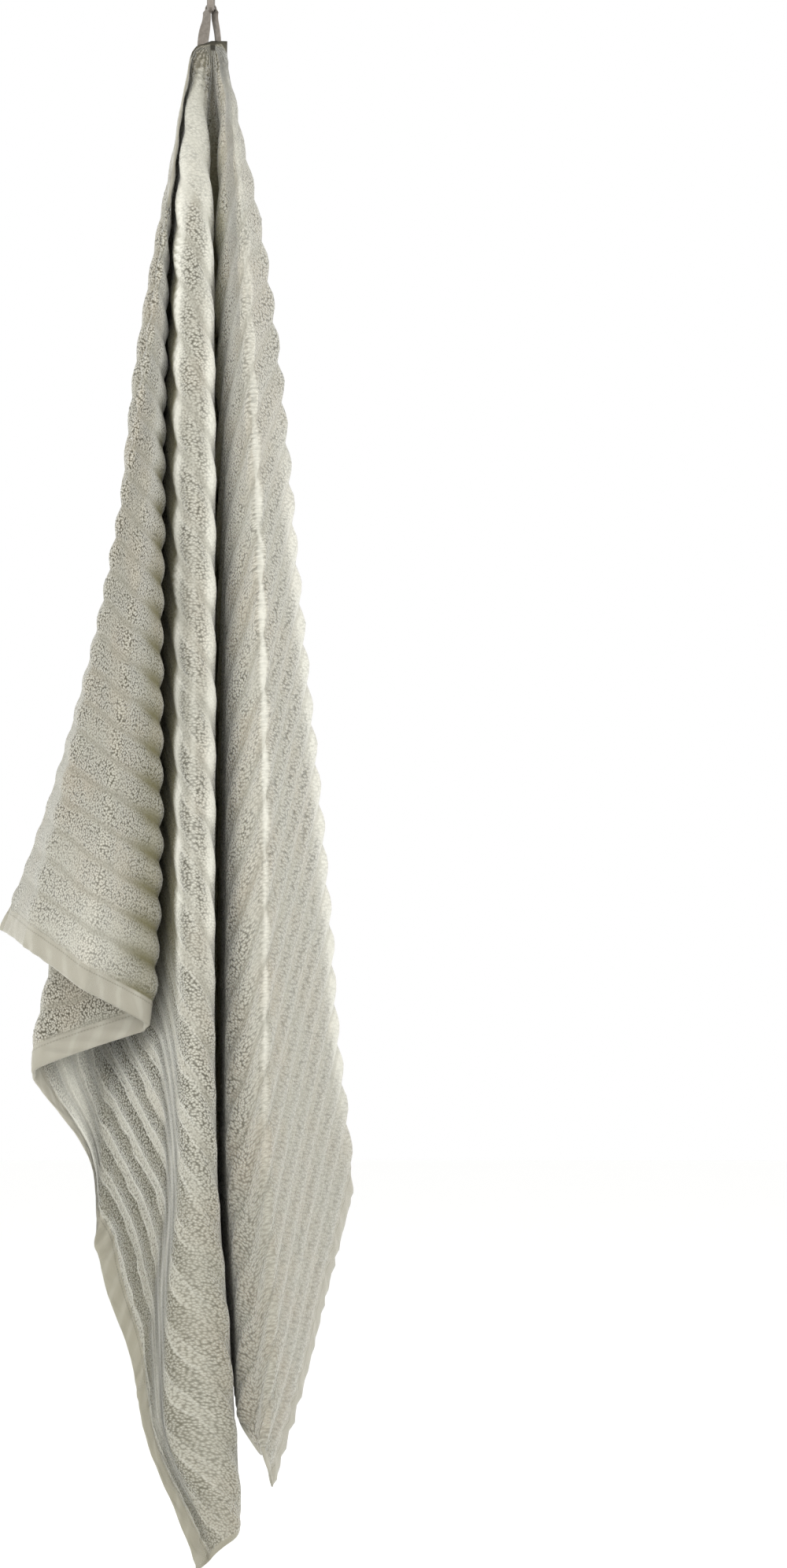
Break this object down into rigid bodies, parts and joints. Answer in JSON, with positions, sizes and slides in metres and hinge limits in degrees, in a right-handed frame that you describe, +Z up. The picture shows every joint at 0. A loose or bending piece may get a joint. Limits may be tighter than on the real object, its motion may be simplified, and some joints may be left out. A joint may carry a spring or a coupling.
{
  "type": "bath towel with hook",
  "caption": "Ribbed terry bath towel hanging by its sewn loop from a plain wall hook with a round plate, the cloth falling in folds from that one point.",
  "frame": {"origin": "middle of the hook plate's back face, which lies on the wall", "axes": "+X to the right along the wall seen from the front, +Y into the wall, +Z up"},
  "size_m": [0.2873, 0.204, 1.3238],
  "materials": {
    "terry": "ribbed cotton terry, fine loops, matt",
    "tape": "woven cotton tape, matt",
    "steel": "satin brushed"
  },
  "bodies": {
    "root": {"towel": "terry", "hanging_loop": "tape", "hook": "steel"}
  },
  "joints": []
}
